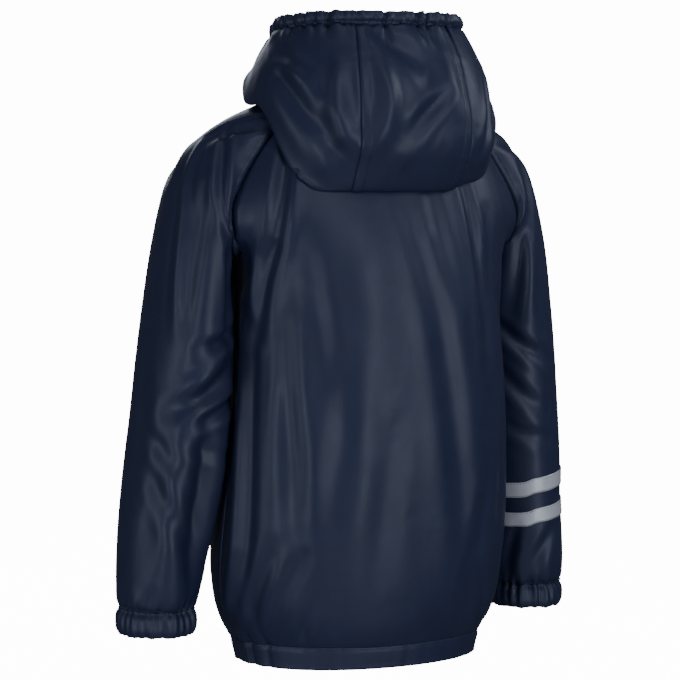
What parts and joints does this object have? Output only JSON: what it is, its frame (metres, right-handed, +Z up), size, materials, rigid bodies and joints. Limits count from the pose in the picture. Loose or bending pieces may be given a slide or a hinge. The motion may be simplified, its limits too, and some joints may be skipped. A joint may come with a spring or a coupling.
{
  "type": "kids raincoat",
  "caption": "Child's hooded raincoat in smooth coated navy cloth, filled out as worn, with raglan sleeves, elastic cuffs, front zip and reflective tape on one forearm.",
  "frame": {"origin": "middle of the neck seam, between the shoulders, where the wearer carries the coat", "axes": "+Z up, the front with its zip faces -Y, the wearer's left arm is at +X"},
  "size_m": [0.4938, 0.2296, 0.6358],
  "materials": {
    "coated_cloth": "smooth polyurethane coating, satin",
    "reflective_tape": "grey retroreflective film on fabric",
    "zip_tape": "woven polyester tape with moulded teeth",
    "zip_metal": "dark painted zinc"
  },
  "bodies": {
    "coat": {"back": "coated_cloth", "front_left": "coated_cloth", "front_right": "coated_cloth", "sleeve_left": "coated_cloth", "sleeve_right": "coated_cloth", "cuff_left": "coated_cloth", "cuff_right": "coated_cloth", "hem": "coated_cloth", "hood_centre": "coated_cloth", "hood_left": "coated_cloth", "hood_right": "coated_cloth", "hood_rim": "coated_cloth", "tape_upper": "reflective_tape", "tape_lower": "reflective_tape", "zip": "zip_tape", "zip_slider": "zip_metal"},
    "pull_tab": {"zip_pull": "zip_metal"}
  },
  "joints": [
    {"name": "pull_tab_hinge", "type": "hinge", "parent": "coat", "child": "pull_tab", "pos_m": [0, -0.0662, 0.0116], "axis": [-1, 0, 0], "range_deg": [0, 150]}
  ]
}
